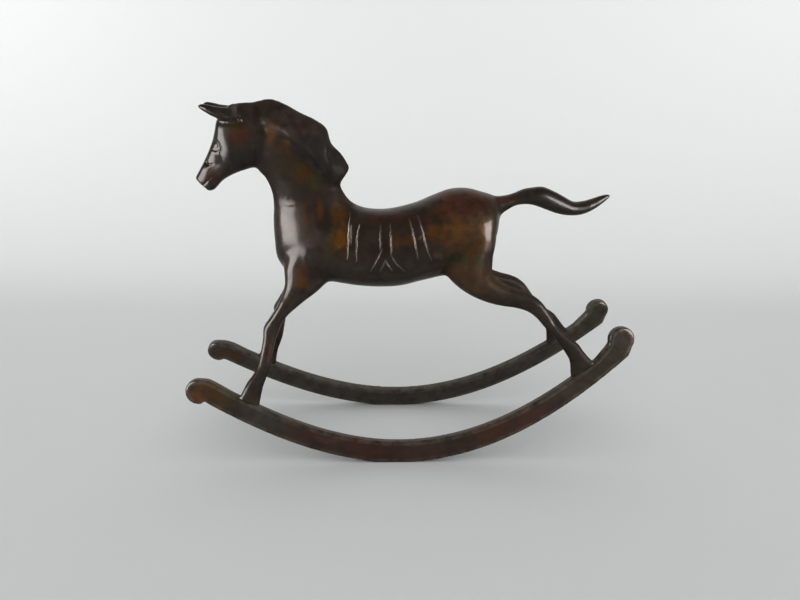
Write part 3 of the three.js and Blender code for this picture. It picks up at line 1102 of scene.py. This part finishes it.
def mottling_group():
    """Soft clouds between 0 and 1."""
    group, given = group_with("mottling", {"Scale": 60.0, "Low": 0.35, "High": 0.65}, "Mask")
    noise = noise_node(group, given["Vector"], given["Scale"], detail=4.0, roughness=0.55)
    return finished(group, remap(group, noise.outputs["Fac"], given["Low"], given["High"]))


MOTTLING = mottling_group()

# %% Group: a warm patch with a ragged border
PATCH_INPUTS = {
    "Centre": (0, 0, 0),
    "Reach": (0.01, 0.03, 0.01),
    "Wander": 0.006,
    "Ragged": 1.2,
    "Grain": 190.0,
}
PATCH_FADE = (-1.15, -0.35)
PATCH_CLOUDS = (0.38, 0.58)
PATCH_THINNEST = 0.6


def warm_patch_group():
    """A mask around a centre, squarish like a rubbed field, with a wandering and ragged border."""
    group, given = group_with("warm_patch", PATCH_INPUTS, "Mask")

    def vectors(operation, first, second, output="Vector"):
        node = new_node(group, "ShaderNodeVectorMath", {0: first, 1: second}, operation=operation)
        return node.outputs[output]

    slow = noise_node(group, given["Vector"], 110.0)
    centred = vectors("SUBTRACT", slow.outputs["Color"], (0.5, 0.5, 0.5))
    wander = {0: centred, "Scale": given["Wander"]}
    moved = new_node(group, "ShaderNodeVectorMath", wander, operation="SCALE")
    place = vectors("ADD", given["Vector"], moved.outputs["Vector"])
    sized = vectors("DIVIDE", vectors("SUBTRACT", place, given["Centre"]), given["Reach"])
    length = vectors("LENGTH", vectors("MULTIPLY", sized, sized), (0, 0, 0), output="Value")
    distance = calculate(group, "SQRT", length)
    fine = noise_node(group, given["Vector"], given["Grain"], detail=5.0, roughness=0.62)
    grain = calculate(group, "SUBTRACT", fine.outputs["Fac"], 0.5)
    torn = calculate(group, "MULTIPLY", grain, given["Ragged"])
    fade = remap(group, calculate(group, "SUBTRACT", torn, distance), *PATCH_FADE)
    clouds = remap(group, slow.outputs["Fac"], *PATCH_CLOUDS, to=(PATCH_THINNEST, 1.0), kind="LINEAR")
    return finished(group, calculate(group, "MULTIPLY", fade, clouds))


WARM_PATCH = warm_patch_group()

# %% Group: wear on the crests


def crest_wear_group():
    """1 where the crest attribute is beyond To and the noise lets it through, 0 on this side of From."""
    group, given = group_with("crest_wear", {"Crest": 0.0, "From": 0.02, "To": 0.12}, "Mask")
    worn = remap(group, given["Crest"], given["From"], given["To"])
    noise = noise_node(group, given["Vector"], 220.0)
    breaks = remap(group, noise.outputs["Fac"], 0.3, 0.6, kind="LINEAR")
    return finished(group, calculate(group, "MULTIPLY", worn, breaks))


CREST_WEAR = crest_wear_group()

# %% Group: the skin of a casting
SKIN_HEIGHTS = {"Wave height": 0.30, "Pore height": 0.05, "Pit depth": 0.10}


def cast_skin_group():
    """The height of slow waves, fine pores and a few pits, in mm, for a Bump node."""
    group, given = group_with("cast_skin", SKIN_HEIGHTS, "Height")
    place = given["Vector"]
    cells = new_node(group, "ShaderNodeTexVoronoi", {"Vector": place, "Scale": 320.0})
    bowl = remap(group, cells.outputs["Distance"], 0.05, 0.22, to=(-1.0, 0.0))
    chance = noise_node(group, place, 90.0, detail=1.0).outputs["Fac"]
    few = remap(group, chance, 0.55, 0.62, kind="LINEAR")
    relief = {
        "Wave height": noise_node(group, place, 170.0, detail=1.5).outputs["Fac"],
        "Pore height": noise_node(group, place, 900.0, detail=3.0).outputs["Fac"],
        "Pit depth": calculate(group, "MULTIPLY", bowl, few),
    }
    total = 0.0
    for name, value in relief.items():
        total = calculate(group, "ADD", total, calculate(group, "MULTIPLY", value, given[name]))
    return finished(group, total)


CAST_SKIN = cast_skin_group()

# %% The patina material
STAIN = (0.0205, 0.0122, 0.0084, 1)
STAIN_THIN = (0.033, 0.0200, 0.0134, 1)
# Dark colour: dirt in the hollows, and also painted shade on the top of the mane and on the cheek.
DIRT_AND_SHADE = (0.010, 0.0075, 0.006, 1)
BROWN = (0.040, 0.0190, 0.0042, 1)
GREY = (0.046, 0.0395, 0.033, 1)
AMBER = (0.072, 0.0245, 0.0002, 1)
ORANGE = (0.110, 0.040, 0.0005, 1)
RED_BROWN = (0.060, 0.0135, 0.0045, 1)
PINK = (0.090, 0.038, 0.028, 1)
OLIVE = (0.036, 0.029, 0.004, 1)
# Light colour: rubbed metal on worn crests, and also a painted highlight at the root of the ears.
RUBBED_AND_HIGHLIGHT = (0.10, 0.085, 0.065, 1)
CUT_METAL = (0.12, 0.104, 0.084, 1)


COAT_ROUGHNESS = 0.17
SPECULAR_LEVEL = 0.05
THIN_STAIN_STRENGTH = 0.8
SPECK_STRENGTH = 0.5
DIRT_STRENGTH = 0.6
CUT_STRENGTH = 0.8
SMOOTHER = 0.06
ROUGHER = 0.12
DULL_FROM = 0.55
DULL_COAT = 0.04
DULL_ROUGHER = 0.25
THROUGH_THE_PIECE = 0.2


class Patina:
    """Builds one patina material: a stain, patches laid over it, wear and cuts on top."""

    def __init__(self, name, metallic, coat):
        self.material = bpy.data.materials.new(name)
        self.material.use_nodes = True
        self.tree = self.material.node_tree
        self.shader = self.tree.nodes["Principled BSDF"]
        self.shader.inputs["Metallic"].default_value = metallic
        self.shader.inputs["Coat Weight"].default_value = coat
        self.shader.inputs["Coat Roughness"].default_value = COAT_ROUGHNESS
        self.shader.inputs["Specular IOR Level"].default_value = SPECULAR_LEVEL
        self.place = self.tree.nodes.new("ShaderNodeTexCoord").outputs["Object"]
        self.colour = STAIN

    def drive(self, name, value):
        """Links one input of the shader."""
        self.tree.links.new(value, self.shader.inputs[name])

    def group(self, group, **values):
        """The output of one of the shared groups."""
        values["Vector"] = self.place
        return new_node(self.tree, "ShaderNodeGroup", values, node_tree=group).outputs[0]

    def attribute(self, name):
        """A value stored on the vertices."""
        return new_node(self.tree, "ShaderNodeAttribute", {}, attribute_name=name).outputs["Fac"]

    def lay(self, colour, mask, strength):
        """Lays a colour over the last one where the mask is 1."""
        share = calculate(self.tree, "MULTIPLY", mask, strength)
        values = {"Factor": share, "A": self.colour, "B": colour}
        mix = new_node(self.tree, "ShaderNodeMix", values, data_type="RGBA", clamp_factor=True)
        self.colour = mix.outputs["Result"]

    def patch(self, centre, reach):
        """The mask of one patch, given by x and z in mm. It goes right through the piece."""
        place = (centre[0] * MM, 0, centre[1] * MM)
        return self.group(WARM_PATCH, Centre=place, Reach=(reach[0] * MM, THROUGH_THE_PIECE, reach[1] * MM))

    def widest(self, patches):
        """The largest mask of several patches."""
        total, *others = [self.patch(centre, reach) for centre, reach in patches]
        for mask in others:
            total = calculate(self.tree, "MAXIMUM", total, mask)
        return total

    def between(self, value, low, high, full=1.0):
        """A value from 0 to full, moved to between low and high."""
        return remap(self.tree, value, 0.0, full, to=(low, high), kind="LINEAR")


def patina(name, patches, dull=(), metallic=0.22, roughness=0.40, coat=0.28, worn=0.12, cuts=False):
    """A finished material. A patch is colour, centre, reach and strength; a dull one centre and reach."""
    make = Patina(name, metallic, coat)
    make.lay(STAIN_THIN, make.group(MOTTLING, Scale=70.0, Low=0.40, High=0.68), THIN_STAIN_STRENGTH)
    for colour, centre, reach, strength in patches:
        make.lay(colour, make.patch(centre, reach), strength)
    make.lay(STAIN, make.group(MOTTLING, Scale=260.0, Low=0.48, High=0.78), SPECK_STRENGTH)
    crest = make.attribute("crest")
    make.lay(DIRT_AND_SHADE, make.group(CREST_WEAR, Crest=crest, From=-0.03, To=-0.14), DIRT_STRENGTH)
    make.lay(RUBBED_AND_HIGHLIGHT, make.group(CREST_WEAR, Crest=crest), worn)
    if cuts:
        make.lay(CUT_METAL, make.attribute("graver"), CUT_STRENGTH)
    make.drive("Base Color", make.colour)
    haze = make.group(MOTTLING, Scale=110.0, Low=0.30, High=0.75)
    rough = make.between(haze, roughness - SMOOTHER, roughness + ROUGHER)
    if dull:
        dullness = make.between(make.widest(dull), 0.0, 1.0, full=DULL_FROM)
        make.drive("Coat Weight", make.between(dullness, coat, DULL_COAT * coat))
        make.drive("Metallic", make.between(dullness, metallic, 0.0))
        rough = calculate(make.tree, "ADD", rough, make.between(dullness, 0.0, DULL_ROUGHER))
    make.drive("Roughness", rough)
    skin_height = {"Strength": 1.0, "Distance": MM, "Height": make.group(CAST_SKIN)}
    make.drive("Normal", new_node(make.tree, "ShaderNodeBump", skin_height).outputs["Normal"])
    return make.material


HORSE_PATCHES = [
    (BROWN, (-63.0, 172.0), (20.0, 22.0), 0.3),
    # Painted shade: darkens the top of the mane, where the top light falls most.
    (DIRT_AND_SHADE, (-64.0, 189.0), (24.0, 9.0), 0.3),
    (GREY, (-56.0, 182.0), (24.0, 16.0), 0.3),
    (DIRT_AND_SHADE, (-48.0, 170.0), (15.0, 15.0), 0.9),
    # Dark patina on the cheek, with painted shade over it that darkens the cheek where the top light falls.
    (DIRT_AND_SHADE, (-90.0, 172.0), (12.0, 11.0), 0.95),
    (DIRT_AND_SHADE, (-103.0, 191.0), (12.0, 6.0), 0.5),
    (DIRT_AND_SHADE, (82.0, 147.0), (36.0, 15.0), 0.75),
    (BROWN, (28.0, 133.0), (24.0, 17.0), 0.8),
    (BROWN, (38.0, 105.0), (26.0, 13.0), 1.0),
    (GREY, (36.0, 106.0), (22.0, 13.0), 0.5),
    (RED_BROWN, (-62.0, 186.0), (17.0, 7.0), 0.2),
    (RED_BROWN, (-91.0, 179.0), (6.0, 7.5), 0.7),
    (RED_BROWN, (-106.0, 157.5), (4.5, 3.0), 0.5),
    (OLIVE, (-92.5, 184.5), (4.5, 3.0), 0.6),
    (AMBER, (-74.5, 180.0), (3.6, 6.0), 0.85),
    (AMBER, (-69.0, 173.5), (5.4, 4.4), 0.7),
    (AMBER, (-58.8, 160.5), (6.0, 5.6), 0.95),
    (OLIVE, (-53.0, 156.0), (5.5, 6.0), 0.7),
    (OLIVE, (-66.0, 164.0), (8.0, 7.0), 0.5),
    # Painted highlight: a light streak where the ears meet the mane.
    (RUBBED_AND_HIGHLIGHT, (-92.4, 192.2), (1.5, 3.6), 0.6),
    (OLIVE, (-40.0, 131.0), (9.0, 16.0), 0.5),
    (AMBER, (-39.6, 132.5), (5.4, 14.5), 0.95),
    (ORANGE, (-38.0, 126.0), (3.4, 6.0), 0.6),
    (AMBER, (-49.6, 141.5), (2.2, 6.0), 0.7),
    (RED_BROWN, (-55.5, 139.0), (4.0, 7.0), 0.3),
    (RED_BROWN, (-59.8, 108.5), (3.4, 4.6), 0.8),
    (AMBER, (-60.0, 102.0), (4.0, 5.4), 0.9),
    (AMBER, (-9.9, 127.0), (3.4, 4.6), 0.6),
    (AMBER, (-1.3, 127.6), (3.8, 3.8), 0.7),
    (RED_BROWN, (26.0, 145.5), (17.0, 6.5), 1.0),
    (OLIVE, (27.0, 118.5), (13.0, 9.0), 0.6),
    (AMBER, (13.5, 131.5), (9.0, 5.6), 0.95),
    (AMBER, (28.0, 131.5), (15.0, 11.0), 1.0),
    (ORANGE, (19.5, 134.5), (7.5, 3.0), 0.5),
    (PINK, (13.5, 119.4), (3.0, 2.8), 0.6),
    (AMBER, (31.5, 120.0), (3.0, 7.0), 0.6),
    (AMBER, (26.5, 112.5), (3.0, 5.0), 0.5),
    (AMBER, (35.0, 106.0), (18.0, 9.0), 0.75),
    (OLIVE, (34.5, 105.0), (5.0, 3.5), 0.5),
    (RED_BROWN, (50.0, 147.0), (4.5, 3.5), 0.6),
    (AMBER, (55.5, 145.0), (5.0, 4.0), 0.25),
    (RED_BROWN, (-8.0, 137.0), (24.0, 4.0), 0.3),
    (RED_BROWN, (-76.0, 62.0), (4.0, 8.0), 0.6),
]
HORSE_DULL = [
    ((-66.0, 152.5), (18.0, 9.4)),
    ((-71.0, 162.0), (16.0, 15.0)),
    ((-103.0, 167.0), (3.0, 4.0)),
    ((-90.0, 171.0), (9.0, 10.0)),
    ((-90.0, 191.0), (7.0, 5.5)),
    ((-54.0, 174.0), (12.0, 10.0)),
    ((-41.0, 158.0), (14.0, 18.0)),
    ((-53.0, 116.5), (7.0, 8.0)),
    ((50.0, 143.5), (5.0, 4.5)),
    ((45.0, 114.0), (7.0, 10.5)),
    ((46.0, 101.5), (11.0, 8.0)),
    ((62.0, 98.0), (16.0, 10.0)),
    ((22.5, 112.0), (8.0, 8.5)),
    ((92.0, 72.0), (22.0, 24.0)),
    ((-82.0, 48.0), (12.0, 12.0)),
]
LEFT_ROCKER_PATCHES = [
    (GREY, (0.0, 30.0), (150.0, 60.0), 0.35),
    (GREY, (-78.0, 30.0), (24.0, 14.0), 0.5),
    (OLIVE, (-103.0, 40.0), (13.0, 10.0), 0.7),
    (AMBER, (-112.0, 41.0), (11.0, 10.0), 0.75),
    (ORANGE, (-119.0, 37.0), (5.0, 6.0), 0.55),
    (RED_BROWN, (-56.0, 19.0), (18.0, 12.0), 0.4),
    (PINK, (-45.0, 14.6), (11.0, 2.2), 0.4),
    (RED_BROWN, (-24.0, 8.0), (24.0, 9.0), 0.6),
    (RED_BROWN, (10.0, 6.0), (26.0, 9.0), 0.35),
    (RED_BROWN, (58.0, 24.0), (30.0, 17.0), 0.6),
    (AMBER, (40.0, 16.0), (14.0, 8.0), 0.25),
    (OLIVE, (106.0, 60.0), (22.0, 20.0), 0.4),
    (DIRT_AND_SHADE, (112.0, 64.0), (22.0, 20.0), 0.6),
]
RIGHT_ROCKER_PATCHES = [
    (GREY, (0.0, 30.0), (220.0, 90.0), 1.0),
    (AMBER, (-113.0, 39.0), (11.0, 5.0), 0.7),
    (OLIVE, (-100.0, 38.0), (10.0, 8.0), 0.5),
    (OLIVE, (104.0, 60.0), (26.0, 22.0), 0.3),
]
horse_patina = patina("horse_patina", HORSE_PATCHES, HORSE_DULL, cuts=True)
left_patina = patina("left_rocker_patina", LEFT_ROCKER_PATCHES, roughness=0.42, worn=0.45)
right_patina = patina("right_rocker_patina", RIGHT_ROCKER_PATCHES, roughness=0.42, worn=0.45)
print("materials:", horse_patina.name, left_patina.name, right_patina.name)

# %% Pieces into the frame


def piece(name, mesh, material, node):
    """Puts a mesh into the scene as the piece that stands for a CAD node."""
    mesh.name = name
    mesh.materials.clear()
    mesh.materials.append(material)
    obj = bpy.data.objects.new(name, mesh)
    bpy.context.scene.collection.objects.link(obj)
    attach(obj, "root")
    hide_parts(node)
    return obj


horse = piece("horse_casting", casting, horse_patina, "horse")
left_rocker = piece("left_rocker_bar", rockers["left"], left_patina, "left_rocker")
right_rocker = piece("right_rocker_bar", rockers["right"], right_patina, "right_rocker")
print("pieces:", [o.name for o in (horse, left_rocker, right_rocker)])

# %% [markdown]
# ## Floor and light
#
# The picture was taken on a pale paper sweep: a floor that bends up behind the object without an edge.
# Large soft lights above, in front and behind make the faint shadow under the rockers and the paper's
# shades. They are kept out of reflections. Two white cards do the opposite: they show in reflections
# only, as the highlights on the chest and the rump.

# %% Paper sweep
SWEEP_START = 0.31
SWEEP_RADIUS = 0.35
SWEEP_WIDTH = 5.0
SWEEP_FRONT = -2.5
SWEEP_TOP = 2.2
SWEEP_STEPS = 33
PAPER_COLOUR = (0.62, 0.63, 0.625, 1)
PAPER_ROUGHNESS = 0.9


def sweep_mesh():
    """A sheet with its profile in y and z, drawn out along x."""
    profile = [(SWEEP_FRONT, 0.0), (SWEEP_START, 0.0)]
    for angle in np.radians(np.linspace(0, 90, SWEEP_STEPS))[1:]:
        bend = SWEEP_START + SWEEP_RADIUS * math.sin(angle)
        profile.append((bend, SWEEP_RADIUS * (1 - math.cos(angle))))
    profile.append((profile[-1][0], SWEEP_TOP))
    points = [(x, y, z) for x in (-SWEEP_WIDTH / 2, SWEEP_WIDTH / 2) for y, z in profile]
    n = len(profile)
    faces = [(k, n + k, n + k + 1, k + 1) for k in range(n - 1)]
    mesh = bpy.data.meshes.new("paper_sweep")
    mesh.from_pydata(points, [], faces)
    mesh.shade_smooth()
    return mesh


paper = bpy.data.materials.new("paper")
paper.use_nodes = True
paper_shader = paper.node_tree.nodes["Principled BSDF"]
paper_shader.inputs["Base Color"].default_value = PAPER_COLOUR
paper_shader.inputs["Roughness"].default_value = PAPER_ROUGHNESS
paper_shader.inputs["Specular IOR Level"].default_value = 0.0
sweep = bpy.data.objects.new("paper_sweep", sweep_mesh())
sweep.data.materials.append(paper)
bpy.context.scene.collection.objects.link(sweep)
sweep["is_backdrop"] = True
print("sweep faces:", len(sweep.data.polygons))

# %% Lights, each with its place, its aim, its size in metres and its power in watts
ROOM_LIGHTS = {
    "top_light": ((0.0, 0.0, 1.30), (0, 0.0, 0), (2.4, 1.8), 14.6),
    "front_light": ((0.0, -1.3, 1.2), (0, 0.0, 0.03), (2.0, 1.0), 8.2),
    "sweep_light": ((-0.1, 0.12, 0.55), (-0.1, 1.12, 0.70), (3.0, 0.3), 7.7),
    "left_wash": ((-0.80, 0.45, 0.60), (-0.70, 1.00, 0.3), (0.8, 0.4), 1.7),
    "right_wash": ((0.80, 0.45, 0.60), (0.70, 1.00, 0.3), (0.8, 0.4), 1.0),
}
CARDS = {
    "left_card": ((-0.40, -0.24, 0.115), (-0.06, -0.02, 0.115), (0.30, 0.27), 5.1),
    "right_card": ((0.38, -0.29, 0.21), (0.04, -0.02, 0.135), (0.30, 0.30), 6.8),
}
ROOM_COLOUR = (0.95, 0.97, 1.0, 1)
ROOM_STRENGTH = 0.15


def panel(name, place, aim, size, power):
    """A rectangular soft light at a place, aimed at a point."""
    data = bpy.data.lights.new(name, "AREA")
    data.shape = "RECTANGLE"
    data.size, data.size_y = size
    data.energy = power
    obj = bpy.data.objects.new(name, data)
    obj.location = place
    obj.rotation_euler = (Vector(aim) - Vector(place)).to_track_quat("-Z", "Y").to_euler()
    bpy.context.scene.collection.objects.link(obj)
    return obj


for name, values in ROOM_LIGHTS.items():
    panel(name, *values).visible_glossy = False
for name, values in CARDS.items():
    card = panel(name, *values)
    card.visible_diffuse = False
    card.visible_camera = False

world = bpy.data.worlds.new("room")
world.use_nodes = True
world.node_tree.nodes["Background"].inputs["Color"].default_value = ROOM_COLOUR
world.node_tree.nodes["Background"].inputs["Strength"].default_value = ROOM_STRENGTH
bpy.context.scene.world = world
bpy.context.scene.view_settings.view_transform = "Standard"

# %% [markdown]
# ## Measuring
#
# Both boxes, the CAD model's and the dressed model's, are printed side by side. The dressed model
# has to stay in the CAD model's box.

# %% Sizes
VISUAL_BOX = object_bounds()
sizes = {"cad": [list(corner) for corner in CAD_BOX], "visual": [list(corner) for corner in VISUAL_BOX]}
for name, box in sizes.items():
    print(name, [round((high - low) / MM, 2) for low, high in zip(*box)])
